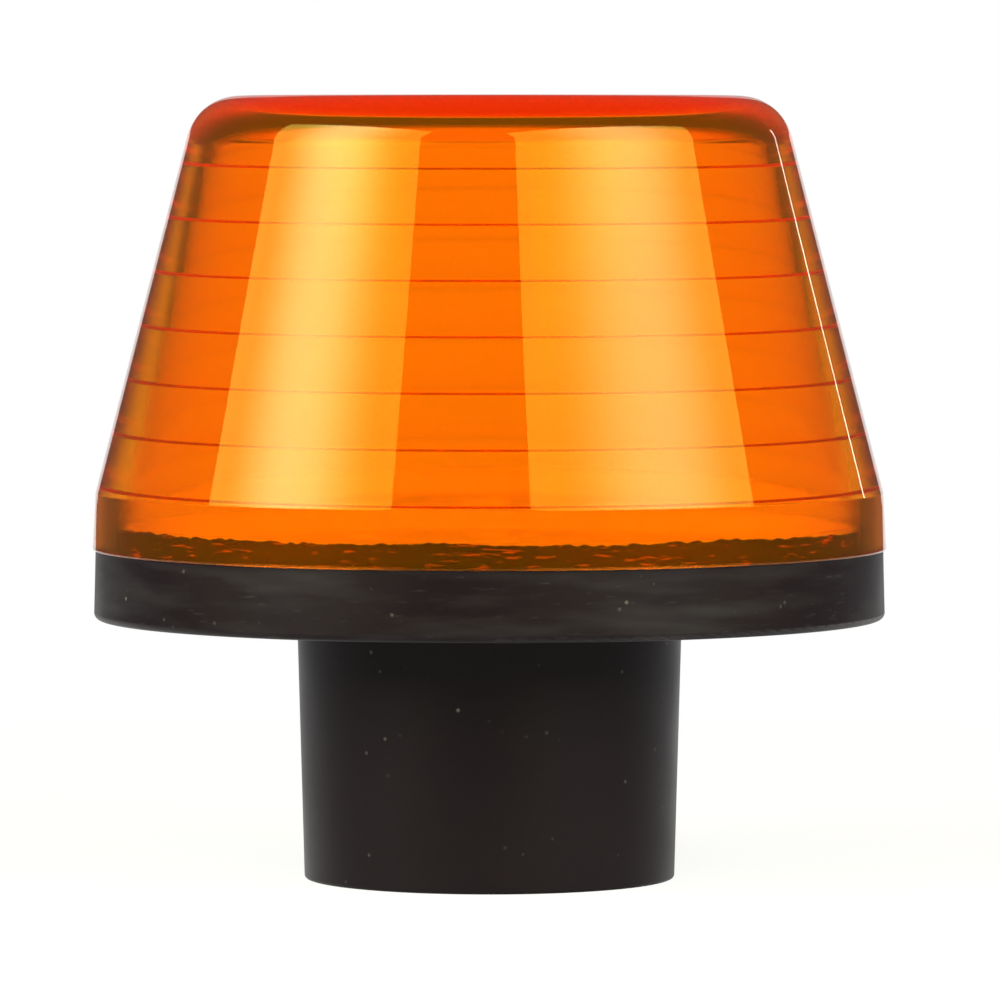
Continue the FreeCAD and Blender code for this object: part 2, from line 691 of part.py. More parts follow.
def build_top_contacts():
    """A round plate over the first and the last cell, and one long plate over the two between."""
    body = new_body("top_contacts")
    for side in ("", "-"):
        place = (f"{side}layout.cell_offset", "layout.cell_offset")
        disc_between(body, place, "sizes.contact_radius", "layout.cell_top", "layout.contact_top")
    middle = ("0 * sizes.contact_radius", "-layout.cell_offset")
    length = "2 * (layout.cell_offset + sizes.cell_button_radius)"
    block_between(body, middle, length, "sizes.contact_radius", "layout.cell_top", "layout.contact_top")
    return body


def build_lead(name, angle):
    """A wire from the magazine's wall, under the board and up through its hole."""
    body = new_body(name)
    path = new_sketch(body, "XZ_Plane")
    start = number("layout.magazine_radius")
    end = number("layout.lead_ring")
    level = number("layout.lead_height")
    top = number("layout.board_top + sizes.lead_stub")
    bend = number("sizes.lead_bend")
    turning = FreeCAD.Vector(end - bend, level + bend, 0)
    run = path.addGeometry(Part.LineSegment(FreeCAD.Vector(start, level, 0), FreeCAD.Vector(end - bend, level, 0)))
    round_corner = Part.Circle(turning, FreeCAD.Vector(0, 0, 1), bend)
    curve = path.addGeometry(Part.ArcOfCircle(round_corner, -math.pi / 2, 0))
    rise = path.addGeometry(Part.LineSegment(FreeCAD.Vector(end, level + bend, 0), FreeCAD.Vector(end, top, 0)))
    path.addConstraint(Sketcher.Constraint("Coincident", run, 2, curve, 1))
    path.addConstraint(Sketcher.Constraint("Coincident", curve, 2, rise, 1))
    locate(path, run, 1, ("layout.magazine_radius", "layout.lead_height"))
    locate(path, curve, 1, ("layout.lead_ring - sizes.lead_bend", "layout.lead_height"))
    locate(path, curve, 3, ("layout.lead_ring - sizes.lead_bend", "layout.lead_height + sizes.lead_bend"))
    locate(path, rise, 2, ("layout.lead_ring", "layout.board_top + sizes.lead_stub"))
    bind(path, "DistanceY", (-1, 1, rise, 1), "layout.lead_height + sizes.lead_bend")
    section = new_sketch(body, "YZ_Plane", "layout.magazine_radius")
    circle(section, ("0", "layout.lead_height"), "sizes.lead_radius")
    wire = body.newObject("PartDesign::AdditivePipe", "wire")
    wire.Profile = section
    wire.Spine = (path, ["Edge1", "Edge2", "Edge3"])
    turn(body, angle)
    return body


def build_contact_disc():
    """The disc under the cells. Its square post runs in the magazine and keeps it from turning."""
    body = new_body("contact_disc")
    disc_between(body, ("0", "0"), "layout.disc_radius", "layout.disc_bottom", "layout.disc_top")
    middle = ("0 * sizes.post_side", "0 * sizes.post_side")
    block_between(body, middle, "sizes.post_side", "sizes.post_side", "layout.disc_top", "layout.post_top")
    return body


def build_bridge_strips():
    body = new_body("bridge_strips")
    for side in ("", "-"):
        middle = ("0 * sizes.strip_width", f"{side}layout.cell_offset")
        length = "(2 * layout.cell_offset + sizes.leaf_length)"
        block_between(body, middle, length, "sizes.strip_width", "layout.disc_top", "layout.strip_top")
    return body


def build_contact_springs():
    """Four leaf springs, each a strip bent into a flat-topped arch, which press on the cells."""
    body = new_body("contact_springs")
    low = "layout.strip_top"
    high = "layout.cell_bottom"
    lower_top = f"{high} - sizes.leaf_thickness"
    foot_top = f"{low} + sizes.leaf_thickness"
    half = "sizes.leaf_length / 2"
    inner = "(sizes.leaf_length / 2 - sizes.leaf_foot)"
    for row in ("", "-"):
        sketch = new_sketch(body, "XZ_Plane", f"{row}layout.cell_offset")
        for side in ("", "-"):
            middle = f"{side}layout.cell_offset"
            outline(sketch, [
                (f"{middle} - {half}", low),
                (f"{middle} - {inner}", low),
                (f"{middle} - sizes.leaf_crown", lower_top),
                (f"{middle} + sizes.leaf_crown", lower_top),
                (f"{middle} + {inner}", low),
                (f"{middle} + {half}", low),
                (f"{middle} + {half}", foot_top),
                (f"{middle} + {inner} + sizes.leaf_thickness / 2", foot_top),
                (f"{middle} + sizes.leaf_crown + sizes.leaf_thickness / 2", high),
                (f"{middle} - sizes.leaf_crown - sizes.leaf_thickness / 2", high),
                (f"{middle} - {inner} - sizes.leaf_thickness / 2", foot_top),
                (f"{middle} - {half}", foot_top),
            ])
        leaf = body.newObject("PartDesign::Pad", "leaf")
        leaf.Profile = sketch
        leaf.setExpression("Length", "sizes.leaf_width")
        leaf.SideType = "Symmetric"
    return body


def build_slip_rings():
    body = new_body("slip_rings")
    sketch = new_sketch(body, "XY_Plane", "layout.track_bottom")
    for track in ("sizes.inner_track_radius", "sizes.outer_track_radius"):
        circle(sketch, ("0", "0"), f"{track} - sizes.track_width / 2")
        circle(sketch, ("0", "0"), f"{track} + sizes.track_width / 2")
    raise_up(body, sketch, "sizes.track_thickness")
    return body


def build_battery_cap():
    """The screwed cap: a bar across a round recess to grip it by, and the button's guide in the bar."""
    body = new_body("battery_cap")
    revolve(body, [
        ("0", "sizes.cap_recess"),
        ("layout.cap_radius", "sizes.cap_recess"),
        ("layout.cap_radius", "layout.cap_top"),
        ("layout.cap_inner", "layout.cap_top"),
        ("layout.cap_inner", "layout.cap_plate_top"),
        ("layout.button_boss_radius", "layout.cap_plate_top"),
        ("layout.button_boss_radius", "layout.switch_board_bottom"),
        ("0", "layout.switch_board_bottom"),
    ])
    disc_between(body, ("0", "0"), "layout.grip_radius", "sizes.cap_recess", "layout.grip_floor", True)
    bar = new_sketch(body, "XY_Plane", "sizes.cap_recess")
    reach = "(layout.grip_radius + sizes.grip_wall / 2)"
    side = "sizes.grip_bar_width / 2"
    outline(bar, [(f"-{reach}", f"-{side}"), (reach, f"-{side}"), (reach, side), (f"-{reach}", side)])
    raise_up(body, bar, "sizes.grip_depth")
    disc_between(body, ("0", "0"), "layout.button_boss_radius", "sizes.cap_recess", "layout.grip_floor")
    disc_between(body, ("0", "0"), "layout.button_hole", "sizes.cap_recess", "layout.guide_top", True)
    disc_between(body, ("0", "0"), "layout.collar_hole", "layout.guide_top", "layout.switch_board_bottom", True)
    groove_half = "(sizes.seal_section + sizes.seal_play)"
    past_wall = "layout.cap_radius + sizes.cap_fit"
    revolve(body, [
        ("layout.seal_groove", f"layout.seal_height - {groove_half}"),
        (past_wall, f"layout.seal_height - {groove_half}"),
        (past_wall, f"layout.seal_height + {groove_half}"),
        ("layout.seal_groove", f"layout.seal_height + {groove_half}"),
    ], True)
    face_height = number("sizes.cap_recess")
    grip_reach = number("layout.grip_radius")

    def on_grip(edge):
        level = abs(edge.BoundBox.ZMin - face_height) < 0.01 and abs(edge.BoundBox.ZMax - face_height) < 0.01
        straight = isinstance(edge.Curve, Part.Line)
        inside = max(abs(edge.BoundBox.XMin), abs(edge.BoundBox.XMax)) < grip_reach + 0.01
        return level and straight and inside

    round_edges(body, [on_grip], "sizes.grip_round")
    return body


def build_ring_seal(name, ring, height, section):
    body = new_body(name)
    revolve_ring(body, ring, height, section)
    return body


def build_push_button():
    """A round button with a collar that keeps it in the cap, a groove for its seal and a stub for the switch."""
    body = new_body("push_button")
    revolve(body, [
        ("0", "layout.button_face"),
        ("sizes.button_radius", "layout.button_face"),
        ("sizes.button_radius", "layout.collar_bottom"),
        ("sizes.collar_radius", "layout.collar_bottom"),
        ("sizes.collar_radius", "layout.collar_top"),
        ("sizes.stub_radius", "layout.collar_top"),
        ("sizes.stub_radius", "layout.stub_top"),
        ("0", "layout.stub_top"),
    ])
    groove_half = "(sizes.button_seal_section + sizes.seal_play)"
    revolve(body, [
        ("layout.button_groove", f"layout.button_seal_height - {groove_half}"),
        ("layout.button_hole", f"layout.button_seal_height - {groove_half}"),
        ("layout.button_hole", f"layout.button_seal_height + {groove_half}"),
        ("layout.button_groove", f"layout.button_seal_height + {groove_half}"),
    ], True)
    round_edges(body, [is_ring("sizes.button_radius", "layout.button_face")], "sizes.button_edge_round")
    return body


def build_switch_body():
    body = new_body("switch_body")
    middle = ("0 * sizes.switch_side", "0 * sizes.switch_side")
    block_between(body, middle, "sizes.switch_side", "sizes.switch_side",
                  "layout.switch_bottom", "layout.switch_board_bottom")
    disc_between(body, ("0", "0"), "sizes.stem_radius", "layout.stem_bottom", "layout.switch_bottom")
    return body


def build_switch_board():
    body = new_body("switch_board")
    disc_between(body, ("0", "0"), "sizes.switch_board_radius", "layout.switch_board_bottom",
                 "layout.switch_board_top")
    return body


def build_contact_pins():
    """Two pins on the switch board, one under each slip ring."""
    body = new_body("contact_pins")
    pin_top = "layout.switch_board_top + sizes.pin_height"
    disc_between(body, ("sizes.inner_track_radius", "0"), "sizes.pin_radius", "layout.switch_board_top", pin_top)
    disc_between(body, ("-sizes.outer_track_radius", "0"), "sizes.pin_radius", "layout.switch_board_top", pin_top)
    return body


board_screws = build_screws(
    "board_screws", "layout.board_screw_ring", BOARD_SCREW_ANGLE, "sizes.board_screw_count", "layout.head_seat",
    "sizes.shank_radius", "sizes.head_radius", "sizes.head_height", "sizes.screw_length")
magazine_screws = build_screws(
    "magazine_screws", "layout.ear_ring", EAR_ANGLE, "sizes.ear_count", "layout.ear_top",
    "sizes.small_shank_radius", "sizes.small_head_radius", "sizes.small_head_height", "sizes.small_screw_length")
base_housing = build_base_housing()

pieces = [
    base_housing,
    build_lens(),
    build_lens_sealant(),
    build_reflector(),
    build_led_board(),
    build_led_packages(),
    build_led_domes(),
    board_screws,
    build_board_part("driver_chip", [CHIP_ANGLE], "sizes.chip_length", "sizes.chip_width", "sizes.chip_height"),
    build_board_part("driver_inductor", [COIL_ANGLE], "sizes.coil_side", "sizes.coil_side", "sizes.coil_height",
                     "sizes.coil_round"),
    build_board_part("driver_capacitors", CAPACITOR_ANGLES, "sizes.capacitor_length", "sizes.capacitor_width",
                     "sizes.capacitor_height"),
    build_board_part("driver_resistors", RESISTOR_ANGLES, "sizes.resistor_length", "sizes.resistor_width",
                     "sizes.resistor_height"),
    build_cell_magazine(),
    magazine_screws,
    build_cell("battery_cell_1", "", "", True),
    build_cell("battery_cell_2", "", "-", False),
    build_cell("battery_cell_3", "-", "-", True),
    build_cell("battery_cell_4", "-", "", False),
    build_top_contacts(),
    build_lead("lead_positive", POSITIVE_LEAD_ANGLE),
    build_lead("lead_negative", NEGATIVE_LEAD_ANGLE),
    build_contact_disc(),
    build_bridge_strips(),
    build_contact_springs(),
    build_slip_rings(),
    build_battery_cap(),
    build_ring_seal("cap_seal", "layout.seal_ring", "layout.seal_height", "sizes.seal_section"),
    build_switch_board(),
    build_switch_body(),
    build_contact_pins(),
    build_push_button(),
    build_ring_seal("button_seal", "layout.button_seal_ring", "layout.button_seal_height",
                    "sizes.button_seal_section"),
]
doc.recompute()

for item in doc.Objects:
    faults = [state for state in item.State if state in ("Invalid", "Error")]
    if faults:
        owner = item.getParentGeoFeatureGroup()
        raise RuntimeError(f"{item.Label} of {owner.Label if owner else 'the document'} is {faults[0]}")
for piece in pieces:
    if piece.Shape.isNull() or not piece.Shape.isValid():
        raise RuntimeError(f"{piece.Label} has no valid shape")

os.makedirs("parts", exist_ok=True)
for piece in pieces:
    piece.Shape.exportStep(f"parts/{piece.Label}.step")
    box = piece.Shape.BoundBox
    print(f"{piece.Label}: {len(piece.Shape.Solids)} solids, {piece.Shape.Volume:.1f} mm3, "
          f"z {box.ZMin:.2f} to {box.ZMax:.2f}, radius {box.XMax:.2f}")
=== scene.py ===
# %% [markdown]
# A warning lamp: an orange lens over a black base, with a tapered spigot below that holds the cells. The
# solid parts come ready made as a frame, and this script gives them their finishes. It models again only
# what needs finer work than a solid can show: the polished lens with its stepped inner wall, and the
# hand-laid sealant.

# %% Load the frame
import json
import math

import bmesh
import bpy
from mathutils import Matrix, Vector, noise


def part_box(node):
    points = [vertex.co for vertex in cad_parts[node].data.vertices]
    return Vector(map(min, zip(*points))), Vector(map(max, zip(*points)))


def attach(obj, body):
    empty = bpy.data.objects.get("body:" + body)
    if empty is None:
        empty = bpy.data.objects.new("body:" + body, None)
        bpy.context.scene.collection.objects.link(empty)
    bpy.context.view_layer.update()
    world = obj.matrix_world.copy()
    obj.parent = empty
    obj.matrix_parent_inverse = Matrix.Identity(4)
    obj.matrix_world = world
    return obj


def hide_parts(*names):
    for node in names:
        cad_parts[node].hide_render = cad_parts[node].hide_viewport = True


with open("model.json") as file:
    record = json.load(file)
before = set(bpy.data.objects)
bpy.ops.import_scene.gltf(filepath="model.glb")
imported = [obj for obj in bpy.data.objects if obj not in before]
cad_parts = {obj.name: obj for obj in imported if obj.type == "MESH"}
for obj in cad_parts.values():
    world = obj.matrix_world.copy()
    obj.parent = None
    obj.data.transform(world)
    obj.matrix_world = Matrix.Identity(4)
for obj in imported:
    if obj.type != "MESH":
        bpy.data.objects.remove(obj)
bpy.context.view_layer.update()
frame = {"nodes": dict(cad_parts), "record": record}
nodes = frame["nodes"]
MM = 0.001
print("nodes:", len(nodes))

# %% [markdown]
# The camera is a long lens about 1.2 m away, a little above the lamp's middle and looking slightly down, so
# that the rim of the lens stays almost flat. A long focal length keeps the sides of the cone nearly parallel
# to view.

# %% Camera
CAMERA_PLACE = Vector((1.6, -1192, 114.6)) * MM
CAMERA_TARGET = Vector((1.6, 0, 57.4)) * MM
camera_data = bpy.data.cameras.new("camera")
camera_data.sensor_width = 36
camera_data.lens = 283
camera = bpy.data.objects.new("camera", camera_data)
camera.location = CAMERA_PLACE
camera.rotation_euler = (CAMERA_TARGET - CAMERA_PLACE).to_track_quat("-Z", "Y").to_euler()
bpy.context.collection.objects.link(camera)
bpy.context.scene.camera = camera
bpy.context.scene.view_settings.view_transform = "Standard"

# %% [markdown]
# The materials are built with a few node helpers. Each takes plain values or the outputs of other nodes as its
# inputs, and most give back the output of the node that they make, so that a chain of nodes reads like a sum.


# %% Node helpers
def feed(tree, socket, value):
    """Links an output into a socket, or writes a plain value there."""
    if isinstance(value, bpy.types.NodeSocket):
        tree.links.new(value, socket)
    else:
        socket.default_value = value


def set_inputs(tree, node, inputs):
    for label, value in inputs.items():
        feed(tree, node.inputs[label], value)


def new_node(tree, kind, inputs=None):
    """A node with its inputs, which are given by label or by number."""
    node = tree.nodes.new(kind)
    set_inputs(tree, node, inputs or {})
    return node


def calculate(tree, operation, *values):
    """The result of one math operation."""
    node = tree.nodes.new("ShaderNodeMath")
    node.operation = operation
    set_inputs(tree, node, dict(enumerate(values)))
    return node.outputs[0]


def map_range(tree, value, from_min=0, from_max=1, to_min=0, to_max=1, interpolation="LINEAR"):
    """The value, moved from one range to another and held at its ends."""
    node = tree.nodes.new("ShaderNodeMapRange")
    node.interpolation_type = interpolation
    set_inputs(tree, node, {
        "Value": value,
        "From Min": from_min,
        "From Max": from_max,
        "To Min": to_min,
        "To Max": to_max,
    })
    return node.outputs["Result"]


def blend(tree, factor, first, second):
    """The colour between two others."""
    node = tree.nodes.new("ShaderNodeMix")
    node.data_type = "RGBA"
    set_inputs(tree, node, {"Factor": factor, "A": first, "B": second})
    return node.outputs["Result"]


def noise_value(tree, coordinates, scale, detail):
    texture = new_node(tree, "ShaderNodeTexNoise", {"Vector": coordinates, "Scale": scale, "Detail": detail})
    return texture.outputs["Fac"]


def object_coordinates(tree):
    return tree.nodes.new("ShaderNodeTexCoord").outputs["Object"]


def new_material(name):
    """A material with nodes, its tree and its main shader."""
    material = bpy.data.materials.new(name)
    material.use_nodes = True
    return material, material.node_tree, material.node_tree.nodes["Principled BSDF"]


# %% [markdown]
# The studio is a white floor and a low, wide white backdrop with a taller strip in its middle, in a darker
# room. A clear part looks the way its surroundings do: the lens glows where it shows the backdrop, and its
# steep sides turn brown where their inner wall mirrors the room beside it. Camera and transmitted rays see the
# cloth as white, and so do mirrored rays on the floor and the low backdrop. On the tall strip they see grey
# cloth with half of the white. Close to the lamp the floor's white gives way a little, so that a soft shadow
# shows there. From its back the cloth is not seen at all, so that the lamp can be looked at from behind and
# from below.


# %% Floor and backdrop
PALE_CLOTH = 0.85
GREY_CLOTH = 0.12
NEAR_REACH = 0.08
FAR_REACH = 0.35


def stage_plane(name, corners):
    """A single quad that belongs to the studio, not to the lamp."""
    bm = bmesh.new()
    bm.faces.new([bm.verts.new(corner) for corner in corners])
    mesh = bpy.data.meshes.new(name)
    bm.to_mesh(mesh)
    bm.free()
    plane = bpy.data.objects.new(name, mesh)
    bpy.context.collection.objects.link(plane)
    return plane


def white_cloth(name, cloth_colour=PALE_CLOTH, near_share=1.0, other_share=None):
    """White cloth that shows as plain white to camera and transmitted rays, and to mirrored rays.

    Close to its object's origin only near_share of the plain white shows, and further off all. With an
    other_share, mirrored rays and all the others see no more than that share of it.
    """
    material = bpy.data.materials.new(name)
    material.use_nodes = True
    tree = material.node_tree
    tree.nodes.clear()
    path = tree.nodes.new("ShaderNodeLightPath").outputs
    direct = calculate(tree, "MAXIMUM", path["Is Camera Ray"], path["Is Transmission Ray"])
    indirect = path["Is Glossy Ray"] if other_share is None else other_share
    seen = calculate(tree, "MAXIMUM", direct, indirect)
    reach = tree.nodes.new("ShaderNodeVectorMath")
    reach.operation = "LENGTH"
    feed(tree, reach.inputs[0], object_coordinates(tree))
    plain_share = map_range(tree, reach.outputs["Value"], NEAR_REACH, FAR_REACH, to_min=near_share)
    cloth = new_node(tree, "ShaderNodeBsdfDiffuse", {"Color": (cloth_colour, cloth_colour, cloth_colour, 1)})
    glow = new_node(tree, "ShaderNodeEmission", {"Strength": 1.0})
    front = new_node(tree, "ShaderNodeMixShader", {
        "Fac": calculate(tree, "MULTIPLY", seen, plain_share),
        1: cloth.outputs[0],
        2: glow.outputs[0],
    })
    one_sided = new_node(tree, "ShaderNodeMixShader", {
        "Fac": tree.nodes.new("ShaderNodeNewGeometry").outputs["Backfacing"],
        1: front.outputs[0],
        2: tree.nodes.new("ShaderNodeBsdfTransparent").outputs[0],
    })
    new_node(tree, "ShaderNodeOutputMaterial", {"Surface": one_sided.outputs[0]})
    return material


BACKDROP_DISTANCE = 1.5
BACKDROP_HALF_WIDTH = 0.5
FLOOR_HALF_WIDTH = 0.42
TALL_HALF_WIDTH = 0.2
BACKDROP_HEIGHT = 0.22
TALL_HEIGHT = 0.62
FLOOR_FRONT = -0.5
FLOOR_NEAR_SHARE = 0.86
TALL_OTHER_SHARE = 0.5
for part, half_width, bottom, top, cloth_colour, other_share in (
        ("low", BACKDROP_HALF_WIDTH, 0, BACKDROP_HEIGHT, PALE_CLOTH, None),
        ("tall", TALL_HALF_WIDTH, BACKDROP_HEIGHT, TALL_HEIGHT, GREY_CLOTH, TALL_OTHER_SHARE)):
    backdrop = stage_plane(f"backdrop_{part}", [
        (-half_width, BACKDROP_DISTANCE, bottom),
        (half_width, BACKDROP_DISTANCE, bottom),
        (half_width, BACKDROP_DISTANCE, top),
        (-half_width, BACKDROP_DISTANCE, top),
    ])
    backdrop.data.materials.append(white_cloth(f"cloth_{part}", cloth_colour, other_share=other_share))
floor = stage_plane("floor", [
    (-FLOOR_HALF_WIDTH, FLOOR_FRONT, 0),
    (FLOOR_HALF_WIDTH, FLOOR_FRONT, 0),
    (FLOOR_HALF_WIDTH, BACKDROP_DISTANCE, 0),
    (-FLOOR_HALF_WIDTH, BACKDROP_DISTANCE, 0),
])
floor.data.materials.append(white_cloth("floor_cloth", near_share=FLOOR_NEAR_SHARE))

# %% [markdown]
# The surroundings are a dim grey room. Only the camera itself sees them as white, past the backdrop's edges.

# %% Surroundings
ROOM_LEVEL = 0.075
world = bpy.data.worlds.new("studio_room")
world.use_nodes = True
bpy.context.scene.world = world
seen_directly = world.node_tree.nodes.new("ShaderNodeLightPath").outputs["Is Camera Ray"]
set_inputs(world.node_tree, world.node_tree.nodes["Background"], {
    "Color": (1, 1, 1, 1),
    "Strength": map_range(world.node_tree, seen_directly, to_min=ROOM_LEVEL),
})

# %% [markdown]
# Two softboxes stand left and right in front. A cone's side mirrors one height all along its slope, so each
# box shows as a sharp-edged stripe from the top of the lens to its foot. Each has its bulb's brighter core
# behind the cloth, with soft edges, and a warmer white beside it. A narrow strip light behind on the right
# draws a thin line near the lens's right edge.


# %% Softboxes
AIM = Vector((0, 0, 80)) * MM
CORE_HALF_WIDTH = 0.02
CORE_REACH = 0.42
EDGE_WHITE = (1.0, 0.96, 0.25, 1)
CORE_WHITE = (1.0, 1.0, 1.0, 1)


def softbox(name, azimuth, elevation, distance, width, height, radiance):
    """A rectangular light that faces the lens. Azimuth counts from the camera's side towards +X, in degrees."""
    data = bpy.data.lights.new(name, "AREA")
    data.shape = "RECTANGLE"
    data.size = width
    data.size_y = height
    data.energy = radiance * math.pi * width * height
    light = bpy.data.objects.new(name, data)
    turn = math.radians(azimuth)
    rise = math.radians(elevation)
    direction = Vector((math.sin(turn) * math.cos(rise), -math.cos(turn) * math.cos(rise), math.sin(rise)))
    light.location = AIM + direction * distance
    light.rotation_euler = direction.to_track_quat("Z", "Y").to_euler()
    bpy.context.collection.objects.link(light)
    return light


def add_core(light, gain, place):
    """Brightens a light in a soft upright band. The place counts across the light, from 0 to 1."""
    light.data.use_nodes = True
    tree = light.data.node_tree
    spot = tree.nodes.new("ShaderNodeNewGeometry").outputs["Parametric"]
    across = new_node(tree, "ShaderNodeSeparateXYZ", {"Vector": spot}).outputs["X"]
    off_core = calculate(tree, "ABSOLUTE", calculate(tree, "SUBTRACT", across, place))
    core = map_range(tree, off_core, CORE_HALF_WIDTH, CORE_REACH, 1, 0, "SMOOTHSTEP")
    set_inputs(tree, tree.nodes["Emission"], {
        "Strength": map_range(tree, core, to_min=1, to_max=1 + gain),
        "Color": blend(tree, core, EDGE_WHITE, CORE_WHITE),
    })


add_core(softbox("softbox_left", -59, 26.5, 0.65, 0.70, 0.44, 6), gain=1.95, place=0.5)
add_core(softbox("softbox_right", 48, 26.5, 0.65, 0.84, 0.44, 6), gain=1.25, place=0.54)
strip = softbox("strip_back_right", 139, 9, 1.0, 0.009, 0.25, 10)
strip.visible_transmission = False


# %% [markdown]
# Round parts are turned from a half outline, as on a lathe. The outline is a chain of corners, given as
# distance from the axis and height, and a corner with a rounding becomes an arc before the outline is spun.
# A point close to each end of an arc keeps the smooth shading of the arc off the straight walls.


# %% Turning helpers
SUPPORT = 0.03
LARGE_ROUND = 1
FINE_STEPS = 4
LARGE_STEPS = 16
MERGE_DISTANCE = 0.001 * MM


def round_corner(before, corner, after, rounding, steps):
    """The arc that replaces a corner, as a list of points."""
    to_before = (before - corner).normalized()
    to_after = (after - corner).normalized()
    half = to_before.angle(to_after) / 2
    centre = corner + (to_before + to_after).normalized() * rounding / math.sin(half)
    tangent = rounding / math.tan(half)
    start = corner + to_before * tangent - centre
    end = corner + to_after * tangent - centre
    arc = [centre + start.slerp(end, step / steps) * rounding for step in range(steps + 1)]
    return [corner + to_before * (tangent + SUPPORT)] + arc + [corner + to_after * (tangent + SUPPORT)]


def rounded_outline(corners):
    """Points of an open outline. Each corner is its radius, height and rounding, in millimetres."""
    spots = [Vector((corner[0], corner[1])) for corner in corners]
    points = [spots[0]]
    for index in range(1, len(corners) - 1):
        rounding = corners[index][2]
        if rounding == 0:
            points.append(spots[index])
            continue
        steps = FINE_STEPS if rounding < LARGE_ROUND else LARGE_STEPS
        points += round_corner(spots[index - 1], spots[index], spots[index + 1], rounding, steps)
    return points + [spots[-1]]


def spin_outline(name, points, segments, closed=False, sharp_angle=35):
    """Turns points once round the Z axis into a mesh object with smooth sides and sharp corners."""
    bm = bmesh.new()
    verts = [bm.verts.new((point.x * MM, 0, point.y * MM)) for point in points]
    pairs = list(zip(verts, verts[1:]))
    if closed:
        pairs.append((verts[-1], verts[0]))
    edges = [bm.edges.new(pair) for pair in pairs]
    bmesh.ops.spin(bm, geom=verts + edges, cent=(0, 0, 0), axis=(0, 0, 1), angle=2 * math.pi,
                   steps=segments, use_merge=True, use_normal_flip=False, use_duplicate=False)
    bmesh.ops.remove_doubles(bm, verts=bm.verts, dist=MERGE_DISTANCE)
    bmesh.ops.recalc_face_normals(bm, faces=bm.faces)
    for face in bm.faces:
        face.smooth = True
    for edge in bm.edges:
        if edge.calc_face_angle(0) > math.radians(sharp_angle):
            edge.smooth = False
    mesh = bpy.data.meshes.new(name)
    bm.to_mesh(mesh)
    bm.free()
    piece = bpy.data.objects.new(name, mesh)
    bpy.context.collection.objects.link(piece)
    return piece


# %% [markdown]
# The lens is one clear orange moulding: a short skirt, a cone that leans in by 14.5 degrees, a generous
# corner and a flat top. Inside, the wall is stepped: each band grows thinner upwards and ends at a ledge that
# faces down. The steps are what draws the fine lines across the lens, so they are modelled in full, each with
# a tiny radius. Two attributes mark the inner side and the ledges for the material.

# %% Lens
lens_low, lens_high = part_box("lens")
FOOT_HEIGHT = lens_low[2] / MM
TOP_HEIGHT = lens_high[2] / MM
FOOT_RADIUS = 60.2
FOOT_WALL = 3.7
FOOT_INNER_ROUND = 0.2
FOOT_OUTER_ROUND = 0.3
SKIRT_HEIGHT = 8.7
SKIRT_LEAN = 0.45
SKIRT_ROUND = 1.5
CONE_SLOPE = math.tan(math.radians(14.53))
CORNER_ROUND = 8.3
TOP_WALL = 4.3
INNER_ROUND = 4.5
RING_PITCH = 8.15
THICK_WALL = 4.75
THIN_WALL = 3.7
LEDGE_ROUND = 0.18
LENS_SEGMENTS = 360
HEIGHT_TOLERANCE = 0.01
INSIDE_DEPTH = 0.6 * THIN_WALL
LEDGE_REACH = 0.7 * LEDGE_ROUND


def cone_radius(height):
    """Outer radius of the cone at a height, in millimetres."""
    return FOOT_RADIUS - SKIRT_LEAN - (height - FOOT_HEIGHT - SKIRT_HEIGHT) * CONE_SLOPE


inner_top = TOP_HEIGHT - TOP_WALL
ring_count = math.floor((inner_top - INNER_ROUND - FOOT_HEIGHT - SKIRT_HEIGHT) / RING_PITCH) + 1
ring_heights = [FOOT_HEIGHT + SKIRT_HEIGHT + ring * RING_PITCH for ring in range(ring_count)]
band_lean = (THICK_WALL - THIN_WALL) / RING_PITCH
last_radius = cone_radius(inner_top) - THICK_WALL + (inner_top - ring_heights[-1]) * band_lean
lens_corners = [(0, inner_top, 0), (last_radius, inner_top, INNER_ROUND)]
for height in reversed(ring_heights):
    lens_corners.append((cone_radius(height) - THICK_WALL, height, LEDGE_ROUND))
    lens_corners.append((cone_radius(height) - THIN_WALL, height, LEDGE_ROUND))
lens_corners += [
    (FOOT_RADIUS - FOOT_WALL, FOOT_HEIGHT, FOOT_INNER_ROUND),
    (FOOT_RADIUS, FOOT_HEIGHT, FOOT_OUTER_ROUND),
    (cone_radius(FOOT_HEIGHT + SKIRT_HEIGHT), FOOT_HEIGHT + SKIRT_HEIGHT, SKIRT_ROUND),
    (cone_radius(TOP_HEIGHT), TOP_HEIGHT, CORNER_ROUND),
    (0, TOP_HEIGHT, 0),
]
lens = spin_outline("lens_moulding", rounded_outline(lens_corners), LENS_SEGMENTS, sharp_angle=50)
inner_share = lens.data.attributes.new("inner", "FLOAT", "POINT")
ledge_share = lens.data.attributes.new("ledge", "FLOAT", "POINT")
for vertex in lens.data.vertices:
    height = vertex.co.z / MM
    reach = math.hypot(vertex.co.x, vertex.co.y) / MM
    outer_reach = min(FOOT_RADIUS, cone_radius(height))
    on_inside = height < inner_top + HEIGHT_TOLERANCE and reach < outer_reach - INSIDE_DEPTH
    near_ring = min(abs(height - ring) for ring in ring_heights) < LEDGE_REACH
    inner_share.data[vertex.index].value = 1.0 if on_inside else 0.0
    ledge_share.data[vertex.index].value = 1.0 if on_inside and near_ring else 0.0
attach(lens, "housing")
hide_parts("lens")
print("rings:", ring_count, "lens faces:", len(lens.data.polygons))

# %% [markdown]
# The sealant was laid by hand, so its upper edge wanders by half a millimetre. It is spun as a plain band, and
# then its upper points are moved by slow, quick and fine noise, which meets itself again after one turn
# because the noise is read on a circle.

